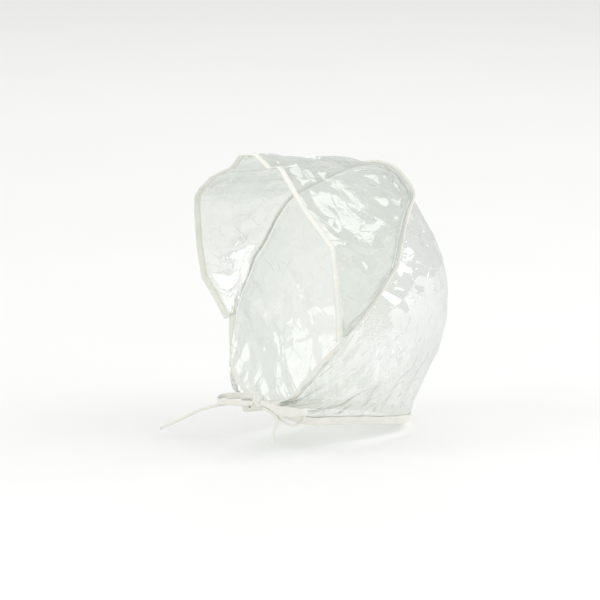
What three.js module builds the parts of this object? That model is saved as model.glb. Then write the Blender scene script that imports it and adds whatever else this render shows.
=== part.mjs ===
// A clear film rain bonnet, tied in a bow: two film panels, the tape that binds their edges, and the bow.
// Millimetres. The origin is where the crown sits on the head, the face looks along -Y,
// the wearer's left is +X, and +Z is up.
import * as THREE from 'three';

// Driving sizes
const HALF_WIDTH = 88;    // middle of the bonnet to its seam, at the widest
const FRONT_REACH = 98;   // head seat forward to the peak of the visor edge
const BACK_REACH = 128;   // head seat back to the hem
const PEAK_RISE = 15;     // head seat up to the peak
const DROP = 281;         // head seat down to the hem at the back
const HOOD_FULLNESS = 45; // how far the back of the hood stands out from a straight rib
const CROWN_FULLNESS = 6; // the same for the visor panel
const GATHER = 2.4;       // height of the folds gathered at the knot and along the hem

const FILM = 1;           // wall of the clear film
const TAPE = 1;           // wall of one layer of binding tape
const GAP = 0.3;          // clearance between pieces that touch
const VISOR_TAPE = 7.5;   // depth of the tape folded over the visor edge
const SEAM_TAPE = 6;      // depth of the tape folded over the seam
const SEAM_LIFT = 2.7;    // stitch line of the seam up to the legs of its tape
const HEM_TAPE = 8.7;     // depth of the tape folded over the hem

const KNOT_WIDE = 11;     // the bow's knot, across
const KNOT_DEEP = 12;     // the knot, front to back
const KNOT_TALL = 14;     // the knot, top to bottom
const KNOT_ROUND = 1.5;   // rounding of the knot's corners
const BOW_TAPE = 6;       // width of the bow's tape where it lies folded
const LEFT_LOOP = 60;     // length of the loop on the wearer's left
const RIGHT_LOOP = 50;    // length of the loop on the wearer's right
const TIE_WIDE = 3.0;     // the tape's free ends, folded lengthwise
const TIE_THICK = 1.4;    // thickness of a folded end

// Places in the tables: across in half widths, along in back reaches behind the head seat
// or front reaches before it (negative), down in drops below it or peak rises above it (negative)
function place({ across, along, down }) {
  const y = along * (along < 0 ? FRONT_REACH : BACK_REACH);
  const z = -down * (down < 0 ? PEAK_RISE : DROP);
  return new THREE.Vector3(across * HALF_WIDTH, y, z);
}

// The stitch line of the seam, from the middle of the back round the wearer's left to the knot.
// One row says where the visor panel ends on it.
const SEAM_ROWS = [
  { across: 0, along: 0.813, down: 0.082 },
  { across: 0.23, along: 0.800, down: 0.092 },
  { across: 0.46, along: 0.750, down: 0.118 },
  { across: 0.68, along: 0.675, down: 0.157 },
  { across: 0.80, along: 0.539, down: 0.189 },
  { across: 0.88, along: 0.438, down: 0.221 },
  { across: 0.94, along: 0.350, down: 0.276 },
  { across: 1.00, along: 0.234, down: 0.370 },
  { across: 1.00, along: 0.133, down: 0.413 },
  { across: 0.98, along: 0.047, down: 0.466 },
  { across: 0.91, along: -0.184, down: 0.566 },
  { across: 0.85, along: -0.306, down: 0.630, ends: 'visor panel' },
  { across: 0.76, along: -0.434, down: 0.690 },
  { across: 0.63, along: -0.556, down: 0.758 },
  { across: 0.47, along: -0.622, down: 0.817 },
  { across: 0.25, along: -0.655, down: 0.854 },
  { across: 0.08, along: -0.665, down: 0.865 },
];

// The middle of the hem's tape, the same way round
const HEM_ROWS = [
  { across: 0, along: 1.0, down: 1.0 },
  { across: 0.30, along: 0.93, down: 0.997 },
  { across: 0.51, along: 0.773, down: 0.986 },
  { across: 0.59, along: 0.50, down: 0.968 },
  { across: 0.57, along: 0.102, down: 0.938 },
  { across: 0.55, along: -0.153, down: 0.925 },
  { across: 0.51, along: -0.449, down: 0.911 },
  { across: 0.37, along: -0.61, down: 0.893 },
  { across: 0.20, along: -0.655, down: 0.884 },
];

// The visor's edge: straight runs between the accordion folds of the film. Each row also says
// how far along the seam's upper stretch its fold ends, and in how many steps its run is built.
const VISOR_LEFT = [
  { name: 'near peak', across: 0.13, along: -0.91, down: -1.03, seam: 0.05, steps: 1 },
  { name: 'dip', across: 0.28, along: -0.85, down: -0.13, seam: 0.10, steps: 2 },
  { name: 'second peak', across: 0.45, along: -0.87, down: -0.47, seam: 0.17, steps: 2 },
  { name: 'brow', across: 0.79, along: -0.81, down: 0.125, seam: 0.29, steps: 3 },
  { name: 'temple', across: 1.05, along: -0.66, down: 0.253, seam: 0.41, steps: 3 },
  { name: 'ear', across: 1.06, along: -0.61, down: 0.402, seam: 0.62, steps: 3 },
  { name: 'jaw', across: 0.98, along: -0.50, down: 0.520, seam: 0.80, steps: 3 },
  { name: 'end', across: 0.88, along: -0.41, down: 0.612, seam: 0.96, steps: 3 },
];
const VISOR_RIGHT = [
  { name: 'dip', across: -0.19, along: -0.95, down: -0.03, seam: 0.07, steps: 2 },
  { name: 'forehead', across: -0.57, along: -0.90, down: 0.053, seam: 0.20, steps: 3 },
  { name: 'brow', across: -0.82, along: -0.84, down: 0.110, seam: 0.29, steps: 2 },
  { name: 'knuckle', across: -0.92, along: -0.81, down: 0.142, seam: 0.36, steps: 1 },
  { name: 'temple', across: -0.97, along: -0.77, down: 0.196, seam: 0.42, steps: 1 },
  { name: 'cheek', across: -1.07, along: -0.65, down: 0.331, seam: 0.56, steps: 3 },
  { name: 'ear', across: -1.10, along: -0.55, down: 0.459, seam: 0.71, steps: 3 },
  { name: 'jaw', across: -1.02, along: -0.45, down: 0.534, seam: 0.84, steps: 2 },
  { name: 'end', across: -0.89, along: -0.40, down: 0.612, seam: 0.96, steps: 2 },
];
const PEAK = { name: 'peak', across: 0, along: -1, down: -1, seam: 0 };

// How the hood stands out from its straight ribs, by the rib's share of the way from the middle
// of the back to the knot: the share of the fullness, and the direction in degrees off straight back
const HOOD_FULL_ROWS = [
  { way: 0.00, share: 1.00, turned: 0 },
  { way: 0.05, share: 0.99, turned: 7 },
  { way: 0.17, share: 0.85, turned: 25 },
  { way: 0.35, share: 0.66, turned: 50 },
  { way: 0.50, share: 0.36, turned: 78 },
  { way: 0.69, share: 0.11, turned: 100 },
  { way: 0.85, share: 0.05, turned: 140 },
  { way: 1.00, share: 0.00, turned: 165 },
];
// The same down a rib, from the seam to the hem
const HOOD_RIB_ROWS = [
  { way: 0.00, share: 0 },
  { way: 0.10, share: 0.36 },
  { way: 0.20, share: 0.69 },
  { way: 0.30, share: 0.91 },
  { way: 0.41, share: 1.00 },
  { way: 0.57, share: 0.98 },
  { way: 0.71, share: 0.82 },
  { way: 0.83, share: 0.47 },
  { way: 0.93, share: 0.14 },
  { way: 1.00, share: 0 },
];
// The visor panel's rise from its straight ribs, from the visor's edge to the seam
const CROWN_RIB_ROWS = [
  { way: 0.00, share: 0 },
  { way: 0.17, share: 0.30 },
  { way: 0.49, share: 0.65 },
  { way: 0.75, share: 1.00 },
  { way: 0.90, share: 0.80 },
  { way: 1.00, share: 0 },
];

const LOWER_STEPS = 14;     // steps of the seam from the visor panel's end to the hood's front corner
const STUB_STEPS = 2;       // steps of bare tape from that corner to the knot
const CORNER_WAY = 0.945;   // share of the seam, from the back, at the hood's front corner
const CROWN_STEPS = 5;      // steps across the visor panel between its tape and the seam
const HOOD_STEPS = 10;      // steps down the hood between the seam and its hem tape
const LAY_FLAT_WAY = [0.60, 0.95]; // shares of the seam over which its standing tape lies down
const EVEN_ROUNDS = 2;      // times that the tape's directions are evened out between stations
const KNOT_FOLDS = 3;       // gathered folds fanning out from the knot, each side
const HEM_FOLDS = 9;        // gathered folds along the hem, each side
const KNOT_GATHER_WAY = [0.5, 0.9];   // shares of the seam over which the knot's folds grow
const HEM_GATHER_DOWN = [0.6, 0.92];  // shares down a rib over which the hem's folds grow
const CROWN_LEAN_SIDE = [0.05, 0.55]; // shares of the seam over which the crown's rise turns sideways
const SEAM_NEAR = 0.12;     // share of a rib used to feel the film's slope beside the seam
const VISOR_NEAR = 0.2;     // the same beside the visor's edge
const HEM_NEAR = 0.1;       // the same beside the hem
const KNOT_OVER = 1;        // how far the knot reaches back over the ends of the seam's tape
const KNOT_UP = 4;          // how far the knot's middle sits above them

const mirrored = (row) => ({ ...row, across: -row.across });
const bothSides = (rows) => [...rows.slice(1).reverse().map(mirrored), ...rows];
const curveThrough = (rows) => new THREE.CatmullRomCurve3(rows.map(place), false, 'centripetal');

// A value of a table's named column at any share of the way, on straight runs between its rows
function column(rows, name, way) {
  let i = 1;
  while (i < rows.length - 1 && rows[i].way < way) i += 1;
  const part = (way - rows[i - 1].way) / (rows[i].way - rows[i - 1].way);
  return THREE.MathUtils.lerp(rows[i - 1][name], rows[i][name], THREE.MathUtils.clamp(part, 0, 1));
}

// Small vector helpers that leave their arguments as they are
const plus = (point, ...moves) => moves.reduce(
  (sum, [direction, length]) => sum.addScaledVector(direction, length), point.clone());
const between = (a, b) => b.clone().sub(a);
const unitCross = (a, b) => a.clone().cross(b).normalize();

// A closed body swept through sections of equal count, its ends covered by the given triangles.
// The sides listed as turned are split along their other diagonal.
function sweep(sections, endTriangles, turned = []) {
  const count = sections[0].length;
  const last = (sections.length - 1) * count;
  const index = [];
  for (let s = 0; s < sections.length - 1; s += 1) {
    for (let k = 0; k < count; k += 1) {
      const a = s * count + k;
      const b = s * count + (k + 1) % count;
      if (turned.includes(k)) index.push(a, b, b + count, a, b + count, a + count);
      else index.push(a, b, a + count, b, b + count, a + count);
    }
  }
  for (const [a, b, c] of endTriangles) {
    index.push(a, c, b, last + a, last + b, last + c);
  }
  return solid(sections.flat(), index);
}

// A closed sheet: a grid of rows and columns offset to both sides, with its four edges closed
function sheet(middle, offsets) {
  const rows = middle.length;
  const columns = middle[0].length;
  const points = [];
  for (const side of [1, -1]) {
    for (let r = 0; r < rows; r += 1) {
      for (let c = 0; c < columns; c += 1) {
        points.push(plus(middle[r][c], [offsets[r][c], side * FILM / 2]));
      }
    }
  }
  const inner = rows * columns;
  const at = (r, c) => r * columns + c;
  const index = [];
  for (let r = 0; r < rows - 1; r += 1) {
    for (let c = 0; c < columns - 1; c += 1) {
      const [p, q, s, t] = [at(r, c), at(r, c + 1), at(r + 1, c), at(r + 1, c + 1)];
      index.push(p, s, q, q, s, t);
      index.push(inner + p, inner + q, inner + s, inner + q, inner + t, inner + s);
    }
  }
  const rim = [];
  for (let c = 0; c < columns; c += 1) rim.push(at(0, c));
  for (let r = 1; r < rows; r += 1) rim.push(at(r, columns - 1));
  for (let c = columns - 2; c >= 0; c -= 1) rim.push(at(rows - 1, c));
  for (let r = rows - 2; r > 0; r -= 1) rim.push(at(r, 0));
  rim.forEach((a, i) => {
    const b = rim[(i + 1) % rim.length];
    index.push(a, b, inner + a, b, inner + b, inner + a);
  });
  return solid(points, index);
}

// Turns a shell's faces outward where its winding runs the other way
function solid(points, index) {
  const volume = new THREE.Vector3();
  let sum = 0;
  for (let i = 0; i < index.length; i += 3) {
    volume.copy(points[index[i + 1]]).cross(points[index[i + 2]]);
    sum += volume.dot(points[index[i]]);
  }
  const faces = sum > 0 ? index : index.slice().reverse();
  const geometry = new THREE.BufferGeometry().setFromPoints(points);
  geometry.setIndex(faces);
  return geometry;
}

// Section of a tape folded over an edge: depth runs from the fold towards the film,
// cross is square to the film's face; the film passes between the two legs
function foldedTape(frame, depth, halfSlot) {
  const outer = halfSlot + TAPE;
  const corner = (along, side) => plus(frame.fold, [frame.depth, along], [frame.cross, side]);
  return [
    corner(depth, outer), corner(-GAP - TAPE, outer), corner(-GAP - TAPE, -outer), corner(depth, -outer),
    corner(depth, -halfSlot), corner(-GAP, -halfSlot), corner(-GAP, halfSlot), corner(depth, halfSlot),
  ];
}
const foldedEnds = () => [
  [0, 1, 6], [0, 6, 7], [1, 2, 5], [1, 5, 6], [2, 3, 4], [2, 4, 5],
];
// Sides to turn so that a tape's facets run along those of the film that it holds
const atLastRows = () => [2, 6];
const atFirstRows = () => [0, 4];

// Stations of the seam
const seamCurve = curveThrough(bothSides(SEAM_ROWS));
const hemCurve = curveThrough(bothSides(HEM_ROWS));
seamCurve.arcLengthDivisions = 1200;
hemCurve.arcLengthDivisions = 1200;

// Share of the way from the middle of the back at which the visor panel ends on the seam
function nearestWay(curve, point) {
  let best = 0;
  let nearest = Infinity;
  for (let i = 0; i <= 1000; i += 1) {
    const gap = curve.getPointAt(0.5 + i / 2000).distanceTo(point);
    if (gap < nearest) {
      nearest = gap;
      best = i / 1000;
    }
  }
  return best;
}
const joinWay = nearestWay(seamCurve, place(SEAM_ROWS.find((row) => row.ends === 'visor panel')));

// Columns of the visor panel: its edge point, and its signed way along the seam
function visorColumns() {
  const columns = [{ edge: place(PEAK), way: 0 }];
  for (const [rows, side] of [[VISOR_LEFT, 1], [VISOR_RIGHT, -1]]) {
    let from = PEAK;
    for (const row of rows) {
      for (let k = 1; k <= row.steps; k += 1) {
        const part = k / row.steps;
        const edge = place(from).lerp(place(row), part);
        const way = side * joinWay * THREE.MathUtils.lerp(from.seam, row.seam, part);
        columns.push({ edge, way });
      }
      from = row;
    }
  }
  return columns.sort((a, b) => a.way - b.way);
}

const visor = visorColumns();
const lowerWays = Array.from({ length: LOWER_STEPS },
  (_, k) => THREE.MathUtils.lerp(joinWay, CORNER_WAY, (k + 1) / LOWER_STEPS));
const hoodWays = [
  ...lowerWays.map((way) => -way).reverse(), -joinWay,
  ...visor.map((station) => station.way), joinWay, ...lowerWays,
];

// Point and running direction on a curve, by the signed way from the middle of the back
const onCurve = (curve, way) => ({
  point: curve.getPointAt((1 + way) / 2),
  run: curve.getTangentAt((1 + way) / 2),
});

// The hem starts at the hood's front corner, where the seam's tape runs on to the knot
const hemWay = (way) => way / CORNER_WAY;

// Unit direction in which the hood stands out at a rib
function hoodOut(way) {
  const turned = THREE.MathUtils.degToRad(column(HOOD_FULL_ROWS, 'turned', Math.abs(way)));
  return new THREE.Vector3(Math.sign(way) * Math.sin(turned), Math.cos(turned), 0);
}

// The hood between its straight ribs' ends, at a share down the rib
function hoodPoint(way, top, bottom, down) {
  const out = hoodOut(way);
  const side = Math.abs(way);
  const full = HOOD_FULLNESS * column(HOOD_FULL_ROWS, 'share', side) * column(HOOD_RIB_ROWS, 'share', down);
  const knotEase = THREE.MathUtils.smoothstep(side, ...KNOT_GATHER_WAY) * Math.sin(Math.PI * down);
  const knotFold = knotEase * Math.sin(2 * Math.PI * KNOT_FOLDS * down);
  const hemEase = THREE.MathUtils.smoothstep(down, ...HEM_GATHER_DOWN)
    * (1 - THREE.MathUtils.smoothstep(down, HEM_GATHER_DOWN[1], 1));
  const hemFold = hemEase * Math.cos(2 * Math.PI * HEM_FOLDS * way) * (1 - side);
  return plus(top.clone().lerp(bottom, down), [out, full + GATHER * (knotFold + hemFold)]);
}

// The visor panel between its straight ribs' ends, at a share of the way back to the seam
function crownPoint(way, front, back, share) {
  const side = Math.min(1, Math.abs(way) / joinWay);
  const lean = Math.sign(way) * THREE.MathUtils.smoothstep(side, ...CROWN_LEAN_SIDE);
  const out = new THREE.Vector3(lean, 0, 1 - Math.abs(lean)).normalize();
  const full = CROWN_FULLNESS * (1 - side ** 3) * column(CROWN_RIB_ROWS, 'share', share);
  return plus(front.clone().lerp(back, share), [out, full]);
}

// Frames along the seam: the tape stands up square to the film, and lies down beside the jaw
function seamFrame(way) {
  const { point, run } = onCurve(seamCurve, way);
  const bottom = onCurve(hemCurve, THREE.MathUtils.clamp(hemWay(way), -1, 1)).point;
  const side = Math.min(Math.abs(way), CORNER_WAY);
  const hoodNear = hoodPoint(Math.sign(way) * side, point, bottom, SEAM_NEAR);
  const out = unitCross(between(point, hoodNear), run);
  if (out.dot(hoodOut(way)) < 0) out.negate();
  const inward = unitCross(run, out);
  if (inward.dot(between(point, bottom)) < 0) inward.negate();
  return { way, point, run, out, inward };
}

// Where two films join, the tape stands midway between their faces
function joinedFrame(station) {
  const frame = seamFrame(station.way);
  const crownNear = crownPoint(station.way, station.edge, frame.point, 1 - SEAM_NEAR);
  const out = unitCross(between(crownNear, frame.point), frame.run);
  if (out.dot(frame.out) < 0) out.negate();
  frame.out.add(out).normalize();
  return frame;
}

// Evens the directions out from station to station, so that the tape turns slowly
function evened(frames, rounds) {
  let outs = frames.map((frame) => frame.out);
  for (let round = 0; round < rounds; round += 1) {
    outs = outs.map((out, i) => out.clone().multiplyScalar(2)
      .add(outs[Math.max(i - 1, 0)]).add(outs[Math.min(i + 1, outs.length - 1)]));
  }
  return frames.map((frame, i) => {
    const out = outs[i].clone().addScaledVector(frame.run, -outs[i].dot(frame.run)).normalize();
    const inward = unitCross(frame.run, out);
    if (inward.dot(frame.inward) < 0) inward.negate();
    return { ...frame, out, inward };
  });
}

function tapeFrame(frame) {
  const lying = THREE.MathUtils.smoothstep(Math.abs(frame.way), ...LAY_FLAT_WAY) * Math.PI / 2;
  const depth = plus(new THREE.Vector3(), [frame.out, -Math.cos(lying)], [frame.inward, Math.sin(lying)]);
  const cross = plus(new THREE.Vector3(), [frame.inward, Math.cos(lying)], [frame.out, Math.sin(lying)]);
  const fold = plus(frame.point, [depth, -SEAM_TAPE]);
  return { ...frame, depth, cross, fold };
}

// The tape's stations: the hood's, and bare ones from the hood's front corners to the knot
const stubWays = Array.from({ length: STUB_STEPS },
  (_, k) => THREE.MathUtils.lerp(CORNER_WAY, 1, (k + 1) / STUB_STEPS));
const tapeWays = [...stubWays.map((way) => -way).reverse(), ...hoodWays, ...stubWays];
const tapeFrames = evened(tapeWays.map((way) => {
  const station = visor.find((candidate) => candidate.way === way);
  return station ? joinedFrame(station) : seamFrame(way);
}), EVEN_ROUNDS).map(tapeFrame);
const seamFrames = tapeFrames.slice(STUB_STEPS, -STUB_STEPS);

const filmBeside = (FILM + GAP) / 2;                 // seam's middle to the middle of either film
const seamSlot = filmBeside + FILM / 2 + GAP;        // half the slot of the seam's tape
const edgeSlot = FILM / 2 + GAP;                     // half the slot of a single edge's tape

// Offset of a sheet's faces where it turns from one direction to another
const mitre = (a, b) => a.clone().add(b).divideScalar(1 + a.dot(b));

// Face direction of each point of a grid, from its neighbours up, down and along
function gridOffsets(grid) {
  return grid.map((row, r) => row.map((_, c) => {
    const above = grid[Math.max(r - 1, 0)][c];
    const below = grid[Math.min(r + 1, grid.length - 1)][c];
    const before = row[Math.max(c - 1, 0)];
    const after = row[Math.min(c + 1, row.length - 1)];
    return unitCross(between(above, below), between(before, after));
  }));
}

// Frames along a single edge that a tape is folded over: the film's edge, and its way inward
function edgeFrames(points, insides, outs, depth) {
  return points.map((point, i) => {
    const before = points[Math.max(i - 1, 0)];
    const after = points[Math.min(i + 1, points.length - 1)];
    const run = between(before, after).normalize();
    const cross = unitCross(run, between(point, insides[i]));
    if (cross.dot(outs[i]) < 0) cross.negate();
    const inward = unitCross(run, cross);
    if (inward.dot(between(point, insides[i])) < 0) inward.negate();
    return { point, run, cross, depth: inward, fold: point, inner: plus(point, [inward, depth]) };
  });
}

const visorFrames = (() => {
  const frames = visor.map((station) => seamFrames.find((frame) => frame.way === station.way));
  const insides = visor.map((station, i) => crownPoint(
    station.way, station.edge, frames[i].point, VISOR_NEAR));
  return edgeFrames(visor.map((station) => station.edge), insides, frames.map((f) => f.out), VISOR_TAPE);
})();

const hemFrames = (() => {
  const middles = seamFrames.map((frame) => onCurve(hemCurve, hemWay(frame.way)).point);
  const insides = seamFrames.map((frame, i) => hoodPoint(frame.way, frame.point, middles[i], 1 - HEM_NEAR));
  const outs = seamFrames.map((frame) => hoodOut(frame.way));
  const centred = edgeFrames(middles, insides, outs, 0);
  return centred.map((frame) => {
    const fold = plus(frame.point, [frame.depth, -HEM_TAPE / 2]);
    return { ...frame, fold, inner: plus(fold, [frame.depth, HEM_TAPE]) };
  });
})();

// The rows of a film that stand in the seam: its stitch line, the end of the tape's legs, its edge
const standingRows = (stitches, frames) => [0, SEAM_LIFT, SEAM_TAPE].map(
  (lift) => stitches.map((stitch, i) => plus(stitch, [frames[i].depth, -lift])));

// The visor panel, from its front edge under the visor's tape to the edge that stands in the seam
function visorPanel() {
  const frames = visor.map((station) => seamFrames.find((frame) => frame.way === station.way));
  const stitches = frames.map((frame) => plus(frame.point, [frame.cross, -filmBeside]));
  const rows = [visorFrames.map((frame) => frame.fold), visorFrames.map((frame) => frame.inner)];
  for (let k = 1; k < CROWN_STEPS; k += 1) {
    rows.push(visor.map((station, i) => crownPoint(
      station.way, visorFrames[i].inner, stitches[i], k / CROWN_STEPS)));
  }
  rows.push(...standingRows(stitches, frames));
  const offsets = gridOffsets(rows);
  const topOffset = offsets[3][Math.floor(visor.length / 2)];
  if (topOffset.z < 0) offsets.flat().forEach((offset) => offset.negate());
  const standing = frames.map((frame) => frame.cross.clone().negate());
  offsets.splice(0, 2, visorFrames.map((frame) => frame.cross), visorFrames.map((frame) => frame.cross));
  offsets.splice(-3, 3, frames.map((frame, i) => mitre(standing[i], frame.out)), standing, standing);
  return sheet(rows, offsets);
}

// The hood, from the edge in the hem's tape to the edge that stands in the seam
function hoodPanel() {
  const stitches = seamFrames.map((frame) => plus(frame.point, [frame.cross, filmBeside]));
  const rows = [hemFrames.map((frame) => frame.fold), hemFrames.map((frame) => frame.inner)];
  for (let k = HOOD_STEPS - 1; k > 0; k -= 1) {
    rows.push(seamFrames.map((frame, i) => hoodPoint(
      frame.way, stitches[i], hemFrames[i].inner, k / HOOD_STEPS)));
  }
  rows.push(...standingRows(stitches, seamFrames));
  const offsets = gridOffsets(rows);
  const backOffset = offsets[3][Math.floor(seamFrames.length / 2)];
  if (backOffset.y < 0) offsets.flat().forEach((offset) => offset.negate());
  const standing = seamFrames.map((frame) => frame.cross);
  offsets.splice(0, 2, hemFrames.map((frame) => frame.cross), hemFrames.map((frame) => frame.cross));
  offsets.splice(-3, 3, seamFrames.map((frame, i) => mitre(standing[i], frame.out)), standing, standing);
  return sheet(rows, offsets);
}

const visorBinding = () => sweep(
  visorFrames.map((frame) => foldedTape(frame, VISOR_TAPE, edgeSlot)), foldedEnds(), atFirstRows());
const seamBinding = () => sweep(
  tapeFrames.map((frame) => foldedTape(frame, SEAM_TAPE - SEAM_LIFT, seamSlot)), foldedEnds(), atLastRows());
const hemBinding = () => sweep(
  hemFrames.map((frame) => foldedTape(frame, HEM_TAPE, edgeSlot)), foldedEnds(), atFirstRows());

// The knot stands just before the two ends of the seam's tape
const seamEnd = place(SEAM_ROWS[SEAM_ROWS.length - 1]);
const knotMiddle = new THREE.Vector3(0, seamEnd.y - KNOT_DEEP / 2 + KNOT_OVER, seamEnd.z + KNOT_UP);

function bowKnot() {
  const shape = new THREE.Shape();
  const w = KNOT_WIDE / 2 - KNOT_ROUND;
  const h = KNOT_TALL / 2 - KNOT_ROUND;
  shape.absarc(w, h, KNOT_ROUND, 0, Math.PI / 2);
  shape.absarc(-w, h, KNOT_ROUND, Math.PI / 2, Math.PI);
  shape.absarc(-w, -h, KNOT_ROUND, Math.PI, 1.5 * Math.PI);
  shape.absarc(w, -h, KNOT_ROUND, 1.5 * Math.PI, 2 * Math.PI);
  const geometry = new THREE.ExtrudeGeometry(shape, {
    depth: KNOT_DEEP, bevelEnabled: false, curveSegments: 3,
  });
  geometry.translate(0, 0, -KNOT_DEEP / 2);
  geometry.rotateX(Math.PI / 2);
  geometry.translate(...knotMiddle);
  return geometry;
}

// A bow's loop, out along the front strand and back along the rear one. Out is a share of the
// loop's length, before is in knot depths towards the wearer's front, up and wide in tape widths
const LEFT_LOOP_ROWS = [
  { out: 0.00, before: 0.26, up: 0.00, wide: 0.80 },
  { out: 0.25, before: 0.40, up: -0.25, wide: 1.00 },
  { out: 0.45, before: 0.46, up: -0.75, wide: 2.10 },
  { out: 0.65, before: 0.46, up: -0.58, wide: 2.30 },
  { out: 0.85, before: 0.40, up: -0.37, wide: 1.75 },
  { out: 1.00, before: 0.20, up: -0.17, wide: 1.30 },
  { out: 0.96, before: 0.04, up: -0.70, wide: 1.00 },
  { out: 0.87, before: 0.00, up: -1.55, wide: 0.60 },
  { out: 0.74, before: 0.00, up: -2.50, wide: 0.50 },
  { out: 0.60, before: 0.00, up: -2.70, wide: 0.50 },
  { out: 0.45, before: 0.00, up: -2.40, wide: 0.50 },
  { out: 0.20, before: 0.00, up: -1.35, wide: 0.50 },
  { out: 0.00, before: 0.00, up: -0.65, wide: 0.50 },
];
const RIGHT_LOOP_ROWS = [
  { out: 0.00, before: 0.28, up: -0.50, wide: 0.75 },
  { out: 0.30, before: 0.38, up: -0.95, wide: 0.80 },
  { out: 0.70, before: 0.38, up: -1.30, wide: 0.85 },
  { out: 0.94, before: 0.33, up: -1.42, wide: 0.85 },
  { out: 1.00, before: 0.14, up: -1.05, wide: 0.75 },
  { out: 0.95, before: -0.02, up: -0.60, wide: 0.65 },
  { out: 0.70, before: -0.06, up: -0.10, wide: 0.90 },
  { out: 0.35, before: -0.06, up: 0.42, wide: 1.05 },
  { out: 0.00, before: -0.04, up: 0.70, wide: 0.70 },
];
const LOOP_STEPS = 36;

function bowLoop(rows, length, side) {
  const start = KNOT_WIDE / 2 + GAP + TAPE / 2;
  const path = new THREE.CatmullRomCurve3(rows.map((row) => new THREE.Vector3(
    knotMiddle.x + side * (start + row.out * length),
    knotMiddle.y - row.before * KNOT_DEEP,
    knotMiddle.z + row.up * BOW_TAPE)), false, 'centripetal');
  const widths = rows.map((row, i) => ({ way: i / (rows.length - 1), wide: row.wide }));
  const up = new THREE.Vector3(0, 0, 1);
  const sections = [];
  for (let k = 0; k <= LOOP_STEPS; k += 1) {
    const way = k / LOOP_STEPS;
    const point = path.getPoint(way);
    const run = path.getTangent(way).setZ(0).normalize();
    const face = unitCross(run, up);
    const high = column(widths, 'wide', way) * BOW_TAPE / 2;
    const corner = (a, b) => plus(point, [up, a * high], [face, b * TAPE / 2]);
    sections.push([corner(1, 1), corner(-1, 1), corner(-1, -1), corner(1, -1)]);
  }
  return sweep(sections, [[0, 1, 2], [0, 2, 3]]);
}

// Routes of the two free ends, in millimetres from the knot's middle
const RIGHT_TIE_POINTS = [
  [-6.2, -1.2, -2.4], [-15, -1.3, -3.6], [-24, -1.3, -5.0], [-33, -1.3, -6.8], [-42, -1.3, -9.0],
  [-50, -1.4, -11.0], [-57, -2.6, -12.9], [-63, -5.0, -14.8], [-69, -7.6, -17.1], [-75, -10.3, -19.8],
  [-81, -13.0, -23.1], [-87, -15.8, -26.6], [-93, -18.9, -30.2], [-99, -22.0, -33.8],
  [-105.5, -25.2, -37.5], [-112, -28.5, -41.3],
];
const LEFT_TIE_POINTS = [
  [6.2, -2.2, -5.2], [10, -2.4, -5.8], [14, -2.7, -6.6], [18, -3.0, -7.6], [21.5, -3.1, -8.9],
  [24.6, -3.2, -10.6], [27.0, -3.3, -12.8], [28.2, -3.5, -15.6], [28.0, -3.8, -18.6],
  [27.1, -4.4, -21.6], [26.4, -5.3, -24.6], [26.3, -6.4, -27.6], [26.7, -7.6, -30.8],
  [27.3, -8.8, -34.2], [27.9, -9.9, -37.4], [28.3, -11.0, -40.7],
];
const TIE_STEPS = 18;

function tieEnd(points) {
  const path = new THREE.CatmullRomCurve3(
    points.map((offset) => plus(knotMiddle, [new THREE.Vector3(...offset), 1])), false, 'centripetal');
  const shape = new THREE.Shape();
  shape.absellipse(0, 0, TIE_THICK / 2, TIE_WIDE / 2, 0, 2 * Math.PI);
  return new THREE.ExtrudeGeometry(shape, {
    steps: TIE_STEPS, extrudePath: path, curveSegments: 4, bevelEnabled: false,
  });
}

// Finishes
const filmFinish = new THREE.MeshStandardMaterial({ color: '#e6eceb', roughness: 0.12, metalness: 0 });
filmFinish.transparent = true;
filmFinish.opacity = 0.3;
filmFinish.side = THREE.DoubleSide;
const tapeFinish = new THREE.MeshStandardMaterial({ color: '#efece4', roughness: 0.55, metalness: 0 });

function piece(name, geometry, finish) {
  const mesh = new THREE.Mesh(geometry, finish.clone());
  mesh.name = name;
  return mesh;
}

const group = new THREE.Group();
group.add(
  piece('visor_panel', visorPanel(), filmFinish),
  piece('hood_panel', hoodPanel(), filmFinish),
  piece('visor_binding', visorBinding(), tapeFinish),
  piece('seam_binding', seamBinding(), tapeFinish),
  piece('hem_binding', hemBinding(), tapeFinish),
  piece('bow_knot', bowKnot(), tapeFinish),
  piece('bow_loop_right', bowLoop(RIGHT_LOOP_ROWS, RIGHT_LOOP, -1), tapeFinish),
  piece('bow_loop_left', bowLoop(LEFT_LOOP_ROWS, LEFT_LOOP, 1), tapeFinish),
  piece('tie_end_right', tieEnd(RIGHT_TIE_POINTS), tapeFinish),
  piece('tie_end_left', tieEnd(LEFT_TIE_POINTS), tapeFinish),
);

export default group;
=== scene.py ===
import bisect
import math
import random
from collections import namedtuple

import bmesh
import bpy
from mathutils import Matrix, Vector, noise
from mathutils.bvhtree import BVHTree
from mathutils.geometry import delaunay_2d_cdt


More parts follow.
